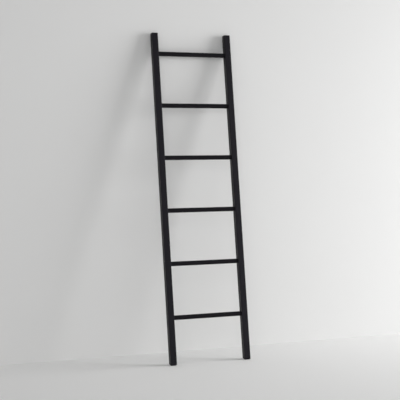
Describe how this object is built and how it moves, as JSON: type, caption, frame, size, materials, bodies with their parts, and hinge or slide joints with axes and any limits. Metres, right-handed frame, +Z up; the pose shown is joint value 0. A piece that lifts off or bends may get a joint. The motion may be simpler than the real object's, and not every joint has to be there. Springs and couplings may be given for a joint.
{
  "type": "leaning blanket ladder",
  "caption": "Black wooden ladder rack that leans on a wall to hang quilts and throws: square rails, round rungs, level rubber feet and felt wall pads.",
  "frame": {"origin": "on the floor, midway between the two rails, and midway between the front of the feet and the wall that the top rests on", "axes": "+Z up, +Y horizontally towards the wall, +X to the right as seen from the front"},
  "size_m": [0.46, 0.3354, 1.7797],
  "materials": {
    "stained_wood": "black stain under a satin lacquer, fine grain just visible",
    "zinc_steel": "bright zinc plating",
    "pad_rubber": "matte moulded rubber",
    "pad_felt": "pressed wool felt"
  },
  "bodies": {
    "root": {"left_rail": "stained_wood", "right_rail": "stained_wood", "rung_1": "stained_wood", "rung_2": "stained_wood", "rung_3": "stained_wood", "rung_4": "stained_wood", "rung_5": "stained_wood", "rung_6": "stained_wood", "left_screw_1": "zinc_steel", "left_screw_2": "zinc_steel", "left_screw_3": "zinc_steel", "left_screw_4": "zinc_steel", "left_screw_5": "zinc_steel", "left_screw_6": "zinc_steel", "right_screw_1": "zinc_steel", "right_screw_2": "zinc_steel", "right_screw_3": "zinc_steel", "right_screw_4": "zinc_steel", "right_screw_5": "zinc_steel", "right_screw_6": "zinc_steel", "left_plug_1": "stained_wood", "left_plug_2": "stained_wood", "left_plug_3": "stained_wood", "left_plug_4": "stained_wood", "left_plug_5": "stained_wood", "left_plug_6": "stained_wood", "right_plug_1": "stained_wood", "right_plug_2": "stained_wood", "right_plug_3": "stained_wood", "right_plug_4": "stained_wood", "right_plug_5": "stained_wood", "right_plug_6": "stained_wood", "left_foot_pad": "pad_rubber", "right_foot_pad": "pad_rubber", "left_wall_pad": "pad_felt", "right_wall_pad": "pad_felt"}
  },
  "joints": []
}
